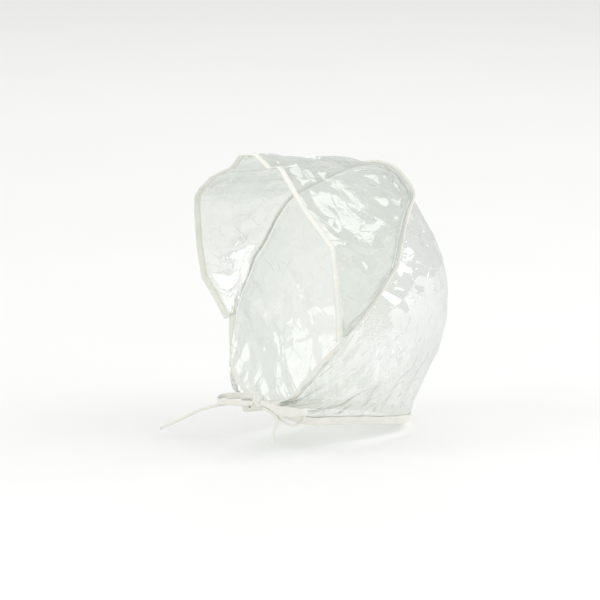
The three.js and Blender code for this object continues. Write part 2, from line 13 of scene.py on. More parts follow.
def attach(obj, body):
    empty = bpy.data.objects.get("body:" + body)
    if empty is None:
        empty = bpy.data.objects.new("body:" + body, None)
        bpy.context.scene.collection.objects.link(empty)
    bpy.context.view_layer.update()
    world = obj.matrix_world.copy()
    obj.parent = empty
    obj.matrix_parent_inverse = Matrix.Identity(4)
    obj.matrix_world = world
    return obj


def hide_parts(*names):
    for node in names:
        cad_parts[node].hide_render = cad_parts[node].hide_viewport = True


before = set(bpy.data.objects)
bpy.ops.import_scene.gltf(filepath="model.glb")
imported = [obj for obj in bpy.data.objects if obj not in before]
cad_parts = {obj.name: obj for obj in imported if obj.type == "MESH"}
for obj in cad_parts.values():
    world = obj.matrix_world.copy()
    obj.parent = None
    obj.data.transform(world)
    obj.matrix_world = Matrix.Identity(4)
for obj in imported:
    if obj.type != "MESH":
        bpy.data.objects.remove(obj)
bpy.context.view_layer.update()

# A clear film rain bonnet, tied in a bow. Metres. The origin is under the crown, where it rests when
# worn, the open front looks along -Y, the wearer's left is +X, and +Z is up.

MM = 0.001

# Camera

# The view of the photograph: from the wearer's left, 44 degrees off straight ahead, 12 above
LOOK_AROUND, LOOK_DOWN = math.radians(44), math.radians(12)
MIDDLE_OF_VIEW = Vector((14.9, -26.95, -139.9)) * MM
VIEW_WIDTH = 600 * MM
CAMERA_AWAY = 6.0


def camera_back(around, down):
    """The direction from the bonnet to a camera that stands around and above it."""
    level = math.cos(down)
    return Vector((math.sin(around) * level, -math.cos(around) * level, math.sin(down)))


camera = bpy.data.objects.new("camera", bpy.data.cameras.new("camera"))
bpy.context.scene.collection.objects.link(camera)
bpy.context.scene.camera = camera
camera.data.sensor_width = 36
camera.data.lens = 36 * CAMERA_AWAY / VIEW_WIDTH
camera.data.clip_end = 50
back = camera_back(LOOK_AROUND, LOOK_DOWN)
camera.location = MIDDLE_OF_VIEW + back * CAMERA_AWAY
camera.rotation_mode = "QUATERNION"
camera.rotation_quaternion = (-back).to_track_quat("-Z", "Y")

# Sizes of the bonnet

HALF_WIDTH, FRONT_REACH, BACK_REACH = 88 * MM, 98 * MM, 128 * MM
PEAK_RISE, DROP = 15 * MM, 281 * MM
HOOD_FULLNESS, CROWN_FULLNESS = 45 * MM, 6 * MM
GATHER = 2.4 * MM
VISOR_TAPE, SEAM_TAPE, HEM_TAPE = 7.5 * MM, 6 * MM, 8.7 * MM
STITCH_BESIDE = 0.65 * MM       # from the middle of the seam to the middle of either film
CORNER_WAY = 0.945              # share of the seam, from the back, at the hood's front corner
LAY_FLAT_WAY = (0.55, 0.80)     # shares of the seam over which its standing tape lies down
KNOT_DEEP, KNOT_WIDE, KNOT_TALL = 12 * MM, 11 * MM, 14 * MM
KNOT_OVER, KNOT_UP = 1 * MM, 4 * MM

# across in half widths, along in back reaches behind the origin or front reaches before it,
# down in drops below it or, where it is less than 0, in peak rises above it
SEAM_ROWS = [
    (0, .813, .082), (.23, .800, .092), (.46, .750, .118), (.68, .675, .157), (.80, .539, .189),
    (.88, .438, .221), (.94, .350, .276), (1.00, .234, .370), (1.00, .133, .413), (.98, .047, .466),
    (.91, -.184, .566), (.85, -.306, .630), (.76, -.434, .690), (.63, -.556, .758), (.47, -.622, .817),
    (.25, -.655, .854), (.08, -.665, .865),
]
VISOR_ENDS_AT = (.85, -.306, .630)
HEM_ROWS = [
    (0, 1.0, 1.0), (.30, .93, .997), (.51, .773, .986), (.59, .50, .968), (.57, .102, .938),
    (.55, -.153, .925), (.51, -.449, .911), (.37, -.61, .890), (.20, -.655, .872),
]
# the visor's edge, from the peak to either end, each with its share of the seam's upper stretch
VISOR_LEFT = [
    (0, -1, -1, 0), (.13, -.91, -1.03, .05), (.28, -.85, -.13, .10), (.45, -.87, -.47, .17),
    (.79, -.81, .125, .29), (1.05, -.66, .253, .41), (1.06, -.61, .402, .62), (.98, -.50, .520, .80),
    (.88, -.41, .612, .96),
]
VISOR_RIGHT = [
    (0, -1, -1, 0), (-.19, -.95, -.03, .07), (-.57, -.90, .053, .20), (-.82, -.84, .110, .29),
    (-.92, -.81, .142, .36), (-.97, -.77, .196, .42), (-1.07, -.65, .331, .56),
    (-1.10, -.55, .459, .71), (-1.02, -.45, .534, .84), (-.89, -.40, .612, .96),
]
# share of the way from the middle of the back to the knot, share of the hood's fullness there, and
# where that fullness points, in degrees off straight back
HOOD_FULL_ROWS = [
    (0, 1, 0), (.05, .99, 7), (.17, .85, 25), (.35, .66, 50), (.50, .36, 78), (.69, .11, 100),
    (.85, .05, 140), (1, 0, 165),
]
# share of the way down a rib of the hood, or back along one of the crown, and share of its fullness
HOOD_RIB_ROWS = [
    (0, 0), (.10, .36), (.20, .69), (.30, .91), (.41, 1), (.57, .98), (.71, .82), (.83, .47),
    (.93, .14), (1, 0),
]
CROWN_RIB_ROWS = [(0, 0), (.17, .30), (.49, .65), (.75, 1), (.90, .80), (1, 0)]


def place(across, along, down, *_):
    """A row of one of the tables above as a place on the bonnet."""
    return Vector((
        across * HALF_WIDTH, along * (FRONT_REACH if along < 0 else BACK_REACH),
        -down * (PEAK_RISE if down < 0 else DROP)))


def smooth(low, high, value):
    """0 up to low, 1 from high on, and a soft S between them."""
    share = min(1.0, max(0.0, (value - low) / (high - low)))
    return share * share * (3 - 2 * share)


def mix(a, b, share):
    return a + (b - a) * share


def column(rows, which, way):
    """A column of a table at any share of the way, on straight runs between its rows."""
    i = min(max(1, bisect.bisect_left([row[0] for row in rows], way)), len(rows) - 1)
    share = (way - rows[i - 1][0]) / (rows[i][0] - rows[i - 1][0])
    return mix(rows[i - 1][which], rows[i][which], min(1.0, max(0.0, share)))


def measured(points):
    """How far along a line of points each of them lies."""
    lengths = [0.0]
    for a, b in zip(points, points[1:]):
        lengths.append(lengths[-1] + (b - a).length)
    return lengths


def eased(points):
    """Each point of a line drawn half way to the middle of its two neighbours."""
    return [(a + b * 2 + c) / 4
            for a, b, c in zip(points[:1] + points, points, points[1:] + points[-1:])]


class Route:
    """A smooth line through given points, walked by shares of its length."""

    def __init__(self, points, fine=24):
        ends = [points[0] * 2 - points[1], *points, points[-1] * 2 - points[-2]]
        self.line = []
        for before, here, there, after in zip(ends, ends[1:], ends[2:], ends[3:]):
            first, middle, last = (math.sqrt((b - a).length) for a, b in (
                (before, here), (here, there), (there, after)))
            straight = there - here
            leave = ((here - before) / first - (there - before) / (first + middle)) * middle + straight
            reach = ((after - there) / last - (after - here) / (middle + last)) * middle + straight
            for k in range(fine):
                t = k / fine
                self.line.append(
                    here * (2 * t**3 - 3 * t**2 + 1) + leave * (t**3 - 2 * t**2 + t)
                    + there * (3 * t**2 - 2 * t**3) + reach * (t**3 - t**2))
        self.line.append(points[-1].copy())
        self.along = measured(self.line)
        self.length = self.along[-1]

    def at(self, share):
        goal = min(1.0, max(0.0, share)) * self.length
        i = min(max(1, bisect.bisect_left(self.along, goal)), len(self.along) - 1)
        part = (goal - self.along[i - 1]) / max(self.along[i] - self.along[i - 1], 1e-12)
        return self.line[i - 1].lerp(self.line[i], part)

    def run(self, share, step=0.002):
        return (self.at(share + step) - self.at(share - step)).normalized()


def both_sides(rows):
    return [place(-row[0], *row[1:]) for row in reversed(rows[1:])] + [place(*row) for row in rows]


# Ways are signed shares from the middle of the back: 1 is the knot, round the wearer's left
seam = Route(both_sides(SEAM_ROWS))
hem = Route(both_sides(HEM_ROWS))


def seam_at(way):
    return seam.at((1 + way) / 2)


def hem_at(way):
    return hem.at((1 + min(1.0, max(-1.0, way / CORNER_WAY))) / 2)


# where the visor's edge meets the seam
join_way = min(
    (k / 1000 for k in range(1001)), key=lambda way: (seam_at(way) - place(*VISOR_ENDS_AT)).length)


# Where the free ends run

KNOT_MIDDLE = place(0, *SEAM_ROWS[-1][1:]) + Vector((0, KNOT_OVER - KNOT_DEEP / 2, KNOT_UP))

# Routes of the two free ends, in millimetres from the knot's middle
RIGHT_TIE_POINTS = [
    (-6.2, -1.2, -2.4), (-15, -1.3, -3.6), (-24, -1.3, -5.0), (-33, -1.3, -6.8), (-42, -1.3, -9.0),
    (-50, -1.4, -11.0), (-57, -2.6, -12.9), (-63, -5.0, -14.8), (-69, -7.6, -17.1), (-75, -10.3, -19.8),
    (-81, -13.0, -23.1), (-87, -15.8, -26.6), (-93, -18.9, -30.2), (-99, -22.0, -33.8),
    (-105.5, -25.2, -37.5), (-112, -28.5, -41.3),
]
LEFT_TIE_POINTS = [
    (6.2, -2.2, -5.2), (10, -2.4, -5.8), (14, -2.7, -6.6), (18, -3.0, -7.6), (21.5, -3.1, -8.9),
    (24.6, -3.2, -10.6), (27.0, -3.3, -12.8), (28.2, -3.5, -15.6), (28.0, -3.8, -18.6),
    (27.1, -4.4, -21.6), (26.4, -5.3, -24.6), (26.3, -6.4, -27.6), (26.7, -7.6, -30.8),
    (27.3, -8.8, -34.2), (27.9, -9.9, -37.4), (28.3, -11.0, -40.7),
]
TIE_WIDE, TIE_THICK = 3.0 * MM, 1.1 * MM


def new_piece(name, bm, finish):
    """Makes a bmesh an object of the bonnet, in its one body."""
    mesh = bpy.data.meshes.new(name)
    bm.to_mesh(mesh)
    bm.free()
    for face in mesh.polygons:
        face.use_smooth = True
    piece = bpy.data.objects.new(name, mesh)
    bpy.context.scene.collection.objects.link(piece)
    mesh.materials.append(finish)
    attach(piece, "root")
    return piece


def laid_grid(across, down, put, flat_at):
    """A grid of across by down steps: put(i, j) is each vertex's place, flat_at(i, j) its place on the
    UV map, in metres."""
    bm = bmesh.new()
    flat = bm.loops.layers.uv.new("flat")
    bmesh.ops.create_grid(bm, x_segments=across, y_segments=down, size=0.5)
    for vert in bm.verts:
        i, j = round((vert.co.x + .5) * across), round((vert.co.y + .5) * down)
        vert.co = put(i, j)
        for loop in vert.link_loops:
            loop[flat].uv = flat_at(i, j)
    return bm


# Finishes

def ink(code):
    """An sRGB hex colour as linear numbers."""
    parts = [int(code[k:k + 2], 16) / 255 for k in (1, 3, 5)]
    return tuple(c / 12.92 if c <= 0.04045 else ((c + 0.055) / 1.055) ** 2.4 for c in parts) + (1.0,)


def add(tree, kind, settings=None, **inputs):
    """Adds a node with its settings, input values and links. An input is named, its blanks as
    underscores, or is i and its number."""
    node = tree.nodes.new(kind)
    for name, value in (settings or {}).items():
        setattr(node, name, value)
    for name, value in inputs.items():
        numbered = name[0] == "i" and name[1:].isdigit()
        socket = node.inputs[int(name[1:]) if numbered else name.replace("_", " ")]
        if isinstance(value, bpy.types.NodeSocket):
            tree.links.new(value, socket)
        else:
            socket.default_value = value
    return node


def finish_tree(name):
    material = bpy.data.materials.new(name)
    material.use_nodes = True
    material.node_tree.nodes.clear()
    return material, material.node_tree


FACET = 14 * MM                 # width of the film's smallest facets
CREASE_SHARE = 0.05             # half the width of a sharp crease, in facets
FACET_SLOPE = 0.10              # steepest tilt of a facet, either way


def clear_vinyl_film():
    """Calendered clear vinyl, 0.1 mm: all but colourless, a little grey-green edge-on, glossy on both
    faces and whitened along its folds. So it shows by glints, by milky crease lines and by a veil."""
    material, tree = finish_tree("clear_calendered_vinyl")
    flat = add(tree, "ShaderNodeUVMap", {"uv_map": "flat"})
    # crumpling leaves facets of uneven size, longer along the panel's ribs, as the storage folds are
    drift = add(tree, "ShaderNodeTexNoise", {"noise_dimensions": "2D"}, Vector=flat.outputs["UV"],
                Scale=1 / (40 * MM), Detail=1.0)
    drawn = add(tree, "ShaderNodeVectorMath", {"operation": "MULTIPLY_ADD"}, i0=drift.outputs["Color"],
                i1=(12 * MM, 12 * MM, 0), i2=flat.outputs["UV"])
    laid = add(tree, "ShaderNodeMapping", None, Vector=drawn.outputs[0], Rotation=(0, 0, .3),
               Scale=(1, .6, 1))
    # each facet is tilted its own way: heights over the cell's middle, in metres
    cells = add(tree, "ShaderNodeTexVoronoi", {"voronoi_dimensions": "2D"}, Vector=laid.outputs[0],
                Scale=1 / FACET, Randomness=1.0)
    beside = add(tree, "ShaderNodeVectorMath", {"operation": "SUBTRACT"}, i0=laid.outputs[0],
                 i1=cells.outputs["Position"])
    tilt = add(tree, "ShaderNodeVectorMath", {"operation": "MULTIPLY_ADD"}, i0=cells.outputs["Color"],
               i1=(2 * FACET_SLOPE, 2 * FACET_SLOPE, 0), i2=(-FACET_SLOPE, -FACET_SLOPE, 0))
    facets = add(tree, "ShaderNodeVectorMath", {"operation": "DOT_PRODUCT"}, i0=beside.outputs[0],
                 i1=tilt.outputs[0])
    tilted = add(tree, "ShaderNodeBump", None, Strength=1.0, Distance=1.0,
                 Height=facets.outputs["Value"])
    # sharp creases between them, ridges a little over 1 mm wide that run out here and there
    rims = add(tree, "ShaderNodeTexVoronoi",
               {"voronoi_dimensions": "2D", "feature": "DISTANCE_TO_EDGE"},
               Vector=laid.outputs[0], Scale=1 / FACET, Randomness=1.0)
    ridge = add(tree, "ShaderNodeMapRange", {"interpolation_type": "SMOOTHSTEP"},
                Value=rims.outputs["Distance"], From_Min=0.0, From_Max=CREASE_SHARE, To_Min=1.0,
                To_Max=0.0)
    lengths = add(tree, "ShaderNodeTexNoise", {"noise_dimensions": "2D"}, Vector=flat.outputs["UV"],
                  Scale=1 / (18 * MM), Detail=1.0)
    kept = add(tree, "ShaderNodeMapRange", {"interpolation_type": "SMOOTHSTEP"},
               Value=lengths.outputs["Fac"], From_Min=0.52, From_Max=0.64, To_Min=0.0, To_Max=1.0)
    crease = add(tree, "ShaderNodeMath", {"operation": "MULTIPLY"}, i0=ridge.outputs[0],
                 i1=kept.outputs[0])
    creased = add(tree, "ShaderNodeBump", None, Strength=0.8, Distance=.5 * MM,
                  Height=crease.outputs[0], Normal=tilted.outputs["Normal"])
    # short wrinkles, 5 mm apart, in patches of the film only
    wrinkles = add(tree, "ShaderNodeTexNoise",
                   {"noise_dimensions": "2D", "noise_type": "RIDGED_MULTIFRACTAL"},
                   Vector=flat.outputs["UV"], Scale=1 / (5 * MM), Detail=2.0, Roughness=0.5,
                   Distortion=0.6)
    patches = add(tree, "ShaderNodeTexNoise", {"noise_dimensions": "2D"}, Vector=flat.outputs["UV"],
                  Scale=1 / (45 * MM), Detail=1.0)
    rough = add(tree, "ShaderNodeMapRange", {"interpolation_type": "SMOOTHSTEP"},
                Value=patches.outputs["Fac"], From_Min=0.46, From_Max=0.60, To_Min=0.06, To_Max=0.9)
    bump = add(tree, "ShaderNodeBump", None, Strength=rough.outputs["Result"], Distance=.6 * MM,
               Height=wrinkles.outputs["Fac"], Normal=creased.outputs["Normal"])
    # what passes: less of it edge-on, where the eye looks through more film
    edge_on = add(tree, "ShaderNodeLayerWeight", None, Blend=0.30, Normal=tilted.outputs["Normal"])
    tint = add(tree, "ShaderNodeMix", {"data_type": "RGBA"}, Factor=edge_on.outputs["Facing"],
               i6=ink("#f1f4f0"), i7=ink("#c7cfc8"))
    clear = add(tree, "ShaderNodeBsdfTransparent", None, Color=tint.outputs[2])
    gloss = add(tree, "ShaderNodeBsdfGlossy", None, Color=ink("#ffffff"), Roughness=0.06,
                Normal=bump.outputs["Normal"])
    milky = ink("#f5f8f4")
    veil = add(tree, "ShaderNodeBsdfDiffuse", None, Color=milky, Normal=tilted.outputs["Normal"])
    glow = add(tree, "ShaderNodeBsdfTranslucent", None, Color=milky, Normal=tilted.outputs["Normal"])
    milk = add(tree, "ShaderNodeMixShader", None, Fac=0.5, i1=veil.outputs[0], i2=glow.outputs[0])
    # milk: a few hundredths face-on, more edge-on, and most along a fold
    thick = add(tree, "ShaderNodeMapRange", None, Value=edge_on.outputs["Facing"], To_Min=0.04,
                To_Max=0.30)
    folded = add(tree, "ShaderNodeAttribute", {"attribute_name": "folded"})
    whitened = add(tree, "ShaderNodeMath", {"operation": "MULTIPLY_ADD", "use_clamp": True},
                   i0=folded.outputs["Fac"], i1=0.6, i2=thick.outputs["Result"])
    body = add(tree, "ShaderNodeMixShader", None, Fac=whitened.outputs[0], i1=clear.outputs[0],
               i2=milk.outputs[0])
    # two faces shine, so twice one face's share, up to where the film would turn to a mirror
    shine = add(tree, "ShaderNodeFresnel", None, IOR=1.54, Normal=bump.outputs["Normal"])
    twice = add(tree, "ShaderNodeMath", {"operation": "MULTIPLY"}, i0=shine.outputs[0], i1=2.4)
    share = add(tree, "ShaderNodeMath", {"operation": "MINIMUM"}, i0=twice.outputs[0], i1=0.55)
    surface = add(tree, "ShaderNodeMixShader", None, Fac=share.outputs[0], i1=body.outputs[0],
                  i2=gloss.outputs[0])
    add(tree, "ShaderNodeOutputMaterial", None, Surface=surface.outputs[0])
    return material


def woven_binding_tape():
    """Woven cotton-mix binding tape, ivory white: a matt ribbed cloth, its ribs across the tape,
    with painted shade in the valleys between them, and darker where hands have soiled it."""
    material, tree = finish_tree("woven_ivory_binding_tape")
    flat = add(tree, "ShaderNodeUVMap", {"uv_map": "flat"})
    # real ribs stand 0.35 mm apart and are drawn at 0.8 mm, so that they show; a wave texture repeats
    # once in tau / 20 / scale
    ribs = add(tree, "ShaderNodeTexWave", {"bands_direction": "X"}, Vector=flat.outputs["UV"],
               Scale=math.tau / 20 / (0.8 * MM), Distortion=0.6, Detail=1.0)
    threads = add(tree, "ShaderNodeTexWave", {"bands_direction": "Y"}, Vector=flat.outputs["UV"],
                  Scale=math.tau / 20 / (0.9 * MM), Distortion=0.8, Detail=1.0)
    weave = add(tree, "ShaderNodeMath", {"operation": "MULTIPLY"}, i0=ribs.outputs["Fac"],
                i1=threads.outputs["Fac"])
    # soiled in patches some 20 mm wide
    worn = add(tree, "ShaderNodeTexNoise", {"noise_dimensions": "2D"}, Vector=flat.outputs["UV"],
               Scale=.045 / MM, Detail=4.0, Roughness=0.6)
    tint = add(tree, "ShaderNodeMix", {"data_type": "RGBA"}, Factor=worn.outputs["Fac"],
               i6=ink("#f7f7ef"), i7=ink("#e9e8dd"))
    # painted shade: the colour is made up to a fifth darker in the weave's valleys
    painted_valley_shade = add(tree, "ShaderNodeMapRange", None, Value=weave.outputs[0], To_Min=0.8, To_Max=1.0)
    shade = add(tree, "ShaderNodeMix", {"data_type": "RGBA", "blend_type": "MULTIPLY"}, Factor=0.5,
                i6=tint.outputs[2], i7=painted_valley_shade.outputs[0])
    bump = add(tree, "ShaderNodeBump", None, Strength=0.5, Distance=.15 * MM, Height=weave.outputs[0])
    cloth = add(tree, "ShaderNodeBsdfPrincipled", None, Base_Color=shade.outputs[2], Roughness=0.62,
                Sheen_Weight=0.25, Specular_IOR_Level=0.4, Normal=bump.outputs["Normal"])
    add(tree, "ShaderNodeOutputMaterial", None, Surface=cloth.outputs[0])
    return material


def sewing_thread():
    """Spun polyester sewing thread, white: small dull beads of light along each stitch, with painted
    light and shade along its twist.
    """
    material, tree = finish_tree("spun_white_sewing_thread")
    spot = add(tree, "ShaderNodeTexCoord")
    # painted light and shade: lighter and darker along the thread, about one twist in each millimetre
    painted_twist_shading = add(tree, "ShaderNodeTexNoise", None, Vector=spot.outputs["Object"], Scale=.9 / MM,
                Detail=2.0)
    tint = add(tree, "ShaderNodeMix", {"data_type": "RGBA"}, Factor=painted_twist_shading.outputs["Fac"],
               i6=ink("#fbfaf6"), i7=ink("#dcd8cc"))
    thread = add(tree, "ShaderNodeBsdfPrincipled", None, Base_Color=tint.outputs[2], Roughness=0.5)
    add(tree, "ShaderNodeOutputMaterial", None, Surface=thread.outputs[0])
    return material


FILM_FINISH = clear_vinyl_film()
TAPE_FINISH = woven_binding_tape()
THREAD_FINISH = sewing_thread()

# Bands of tape along a route

BAND_ACROSS = 8                 # faces across a band of tape
TIE_STEPS = 60                  # faces along a free end


def band(name, route, steps, width, thick, face_at, wide_at=lambda share: 1.0, curl=0.0, seed=0):
    """A flat tape along a route. face_at(share) is the way its face looks, wide_at its share of
    the width, and curl how far its middle stands out, as a share of its width."""

    def put(i, j):
        share, side = i / steps, j / BAND_ACROSS - .5
        run = route.run(share, 0.01)
        face = face_at(share)
        face = (face - run * face.dot(run)).normalized()
        wide = run.cross(face)
        bulge = curl * width * (0.25 - side * side) * 4
        rumple = noise.noise(Vector((share * route.length * 140, side * 2, seed))) * .25 * MM
        return route.at(share) + wide * side * width * wide_at(share) + face * (bulge + rumple)

    bm = laid_grid(steps, BAND_ACROSS, put,
                   lambda i, j: (route.length * i / steps, width * j / BAND_ACROSS))
    bm.normal_update()
    for vert in bm.verts:                       # so that the two faces lie evenly beside the route
        vert.co += vert.normal * thick / 2
    bmesh.ops.solidify(bm, geom=bm.faces[:], thickness=thick)
    bmesh.ops.recalc_face_normals(bm, faces=bm.faces[:])
    return new_piece(name, bm, TAPE_FINISH)


def tie_end(name, points, face_at):
    """One of the bow's two free ends, from under the knot's wrap to its cut end."""
    route = Route([KNOT_MIDDLE + Vector(p) * MM for p in points], 10)
    piece = band(name, route, TIE_STEPS, TIE_WIDE, TIE_THICK, face_at, curl=0.06)
    path = [route.at(k / TIE_STEPS) for k in range(TIE_STEPS + 1)]
    route.at(0)
    measured(path)[-1]
    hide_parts(name.replace("_tape", ""))


tie_end("tie_end_right_tape", RIGHT_TIE_POINTS, lambda share: Vector((.2, -.6, .75)))
tie_end("tie_end_left_tape", LEFT_TIE_POINTS, lambda share: Vector((.5, -.85, .1)))

# Shape of the two film panels

# How a tape lies at a point of its edge: along it, into the film, and out of the film's face
Tape = namedtuple("Tape", "point run depth cross out")


def hood_out(way):
    """The level direction in which the hood is full at way."""
    turned = math.radians(column(HOOD_FULL_ROWS, 2, abs(way)))
    return Vector((math.copysign(math.sin(turned), way) if way else 0.0, math.cos(turned), 0))


def hood_base(way, top, bottom, down):
    """The hood between its straight ribs' ends, at a share down the rib."""
    full = HOOD_FULLNESS * column(HOOD_FULL_ROWS, 1, abs(way)) * column(HOOD_RIB_ROWS, 1, down)
    side = abs(way)
    knot_fold = smooth(.5, .9, side) * math.sin(math.pi * down) * math.sin(math.tau * 3 * down)
    above_hem = smooth(.6, .92, down) * (1 - smooth(.92, 1, down))
    hem_fold = above_hem * math.cos(math.tau * 9 * way) * (1 - side)
    return top.lerp(bottom, down) + hood_out(way) * (full + GATHER * (knot_fold + hem_fold))


def crown_base(way, front, rear, share):
    """The visor panel between its straight ribs' ends, at a share of the way back to the seam."""
    side = min(1.0, abs(way) / join_way)
    lean = math.copysign(smooth(.05, .55, side), way)
    out = Vector((lean, 0, 1 - abs(lean))).normalized()
    full = CROWN_FULLNESS * (1 - side**3) * column(CROWN_RIB_ROWS, 1, share)
    return front.lerp(rear, share) + out * full


def visor_edge(way):
    """The visor's edge where the fold ends that leaves the seam at way."""
    rows = VISOR_LEFT if way >= 0 else VISOR_RIGHT
    share = abs(way) / join_way
    i = min(max(1, bisect.bisect_left([row[3] for row in rows], share)), len(rows) - 1)
    part = (share - rows[i - 1][3]) / (rows[i][3] - rows[i - 1][3])
    return place(*rows[i - 1]).lerp(place(*rows[i]), part)


LAST_WAY = .96 * join_way       # where the visor panel's last rib leaves the seam


def slope_beside_seam(way):
    """The outward direction that stands square to the two films where they meet at way."""
    point, run = seam_at(way), seam.run((1 + way) / 2)
    near = hood_base(math.copysign(min(abs(way), CORNER_WAY), way), point, hem_at(way), .12)
    out = (near - point).cross(run).normalized()
    if out.dot(hood_out(way)) < 0:
        out.negate()
    if abs(way) <= LAST_WAY:
        crown = crown_base(way, visor_edge(way), point, .88)
        other = (point - crown).cross(run).normalized()
        if other.dot(out) < 0:
            other.negate()
        out = (out + other).normalized()
    return out


SEAM_STATIONS = 81              # places along the seam where its slope is worked out
seam_outs = eased(eased(
    [slope_beside_seam(-1 + 2 * k / (SEAM_STATIONS - 1)) for k in range(SEAM_STATIONS)]))
seam_outs = [out.normalized() for out in seam_outs]


def seam_tape(way):
    """How the seam's tape lies: up, square to the film, and flat low down at the hood's front."""
    point, run = seam_at(way), seam.run((1 + way) / 2)
    goal = (1 + way) / 2 * (SEAM_STATIONS - 1)
    i = min(int(goal), SEAM_STATIONS - 2)
    out = seam_outs[i].lerp(seam_outs[i + 1], goal - i)
    out = (out - run * out.dot(run)).normalized()
    inward = run.cross(out)
    if inward.dot(hem_at(way) - point) < 0:
        inward.negate()
    lying = smooth(*LAY_FLAT_WAY, abs(way)) * math.pi / 2
    return Tape(point, run, -out * math.cos(lying) + inward * math.sin(lying),
                inward * math.cos(lying) + out * math.sin(lying), out)


def edge_tapes(points, insides, outs):
    """How a tape lies folded over a single edge: depth runs into the film, cross out of its face."""
    tapes = []
    for i, point in enumerate(points):
        run = (points[min(i + 1, len(points) - 1)] - points[max(i - 1, 0)]).normalized()
        cross = run.cross(insides[i] - point).normalized()
        if cross.dot(outs[i]) < 0:
            cross.negate()
        depth = run.cross(cross).normalized()
        if depth.dot(insides[i] - point) < 0:
            depth.negate()
        tapes.append(Tape(point, run, depth, cross, outs[i]))
    return tapes


class Creases:
    """Flat facets that meet at sharp creases, as thin film keeps from folding: heights of -1 to 1
    over a square plane that reaches that far from its middle."""

    def __init__(self, seed, reach, spacing, stretch=1.0, turned=0.0):
        self.turn = Matrix.Rotation(turned, 2)
        self.stretch = stretch
        dice = random.Random(seed)
        half = int(reach / spacing) + 2
        spots = [Vector((i + dice.uniform(-.45, .45), j + dice.uniform(-.45, .45))) * spacing
                 for i in range(-half, half + 1) for j in range(-half, half + 1)]
        spots, _, faces, *_ = delaunay_2d_cdt(spots, [], [], 0, 1e-6)
        heights = [Vector((p.x, p.y, dice.uniform(-1, 1))) for p in spots]
        self.tree = BVHTree.FromPolygons(heights, faces)

    def __call__(self, u, v):
        p = self.turn @ Vector((u, v))
        hit = self.tree.ray_cast(Vector((p.x / self.stretch, p.y, 5)), Vector((0, 0, -1)))
        return hit[0].z if hit[0] else 0.0


def fold(waves):
    """Straight slopes between sharp crests and valleys, -1 to 1, one crest in each whole wave."""
    return abs(waves % 1 - .5) * 4 - 1


FOLDED_AT = math.radians(16)    # an edge as sharp as this is whitened fully


def laid_film(name, columns, crumple, replaces):
    """A film panel from columns of (place, freedom), crumpled where it is free. Its flat map is
    measured on the panel: across from the middle column, and along each column from its edge."""
    wide, tall = len(columns) - 1, len(columns[0]) - 1
    downs = [measured([spot for spot, _ in rib]) for rib in columns]
    acrosses = [measured([rib[j][0] for rib in columns]) for j in range(tall + 1)]

    def flat_at(i, j):
        return acrosses[j][i] - acrosses[j][wide // 2], downs[i][j]

    def put(i, j):
        spot, freedom = columns[i][j]
        run = columns[min(i + 1, wide)][j][0] - columns[max(i - 1, 0)][j][0]
        fall = columns[i][min(j + 1, tall)][0] - columns[i][max(j - 1, 0)][0]
        return spot + run.cross(fall).normalized() * crumple(*flat_at(i, j), i, j) * freedom

    bm = laid_grid(wide, tall, put, flat_at)
    folded = bm.verts.layers.float.new("folded")
    for vert in bm.verts:                       # how sharply the film is folded there
        sharpest = max(edge.calc_face_angle(0.0) for edge in vert.link_edges)
        vert[folded] = min(1.0, sharpest / FOLDED_AT) ** 2
    piece = new_piece(name, bm, FILM_FINISH)
    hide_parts(replaces)
    return piece


TAPE_ROWS, WELT_ROWS = 4, 3     # rows of faces inside an edge's tape, and inside the seam's


def film_column(tape, depth, side, beside, rows, free, rib):
    """One column of a film panel, from its edge to the seam, as (place, freedom) for each vertex: flat
    in the edge's tape, free on its rib, and up between the folds of the seam's tape. side is the
    seam's tape there, beside is 1 for the film on its cross side and -1 for the other, and the film
    comes free up to the first share of the rib in free and is held again from the second."""
    inner = tape.point + tape.depth * depth
    stitch = side.point + side.cross * STITCH_BESIDE * beside
    spots = [(tape.point.lerp(inner, k / TAPE_ROWS), 0.0) for k in range(TAPE_ROWS + 1)]
    for k in range(1, rows):
        share = k / rows
        freedom = smooth(0, free[0], share) * (1 - smooth(free[1], 1, share))
        spots.append((rib(inner, stitch, share), freedom))
    for k in range(WELT_ROWS + 1):              # the two films close up towards the tape's fold
        closed = side.cross * STITCH_BESIDE * .6 * smooth(0, 2, k) * beside
        spots.append((stitch - side.depth * SEAM_TAPE * k / WELT_ROWS - closed, 0.0))
    return spots


def crumpling(folds, heights, u, v):
    """The height of a film at a place of its flat map, where several crumplings lie one on another."""
    return sum(height * crease(u, v) for crease, height in zip(folds, heights))


# Visor panel

VISOR_COLUMNS, CROWN_ROWS = 240, 80
visor_ways = [LAST_WAY * (-1 + 2 * k / VISOR_COLUMNS) for k in range(VISOR_COLUMNS + 1)]
# eased, because tape can't turn a corner at a point
visor_points = eased(eased([visor_edge(way) for way in visor_ways]))
visor_tapes = edge_tapes(
    visor_points,
    [crown_base(way, point, seam_at(way), .2) for way, point in zip(visor_ways, visor_points)],
    [seam_tape(way).out for way in visor_ways])


def crown_column(way, tape):
    return film_column(tape, VISOR_TAPE, seam_tape(way), -1, CROWN_ROWS, (.12, .88),
                       lambda front, rear, share: crown_base(way, front, rear, share))


VISOR_MIDDLE = .07              # where the middle of its crumpling lies, down from its edge
PLEAT_SPACING = .026
# shares of the seam's upper stretch: where the edge's kink is, and how wide either slope of its fold
KINK_SHARE, KINK_REACH = .17, .03
visor_folds = [Creases(11, .30, .038), Creases(12, .30, .016), Creases(13, .30, .008)]


def visor_crumple(u, v, i, j):
    """Broad, middling and small facets, the pleats it is stored in, and the sharper fold that runs
    back from the kink in its edge."""
    crumpled = crumpling(visor_folds, (2.4, 1.0, .2), u, v - VISOR_MIDDLE)
    pleated = fold(u / PLEAT_SPACING + .3 * noise.noise(Vector((u * 9, v * 9, 0))))
    kinked = max(0.0, 1 - abs(abs(visor_ways[i]) / join_way - KINK_SHARE) / KINK_REACH)
    return (crumpled + .5 * pleated + 2.2 * kinked) * MM


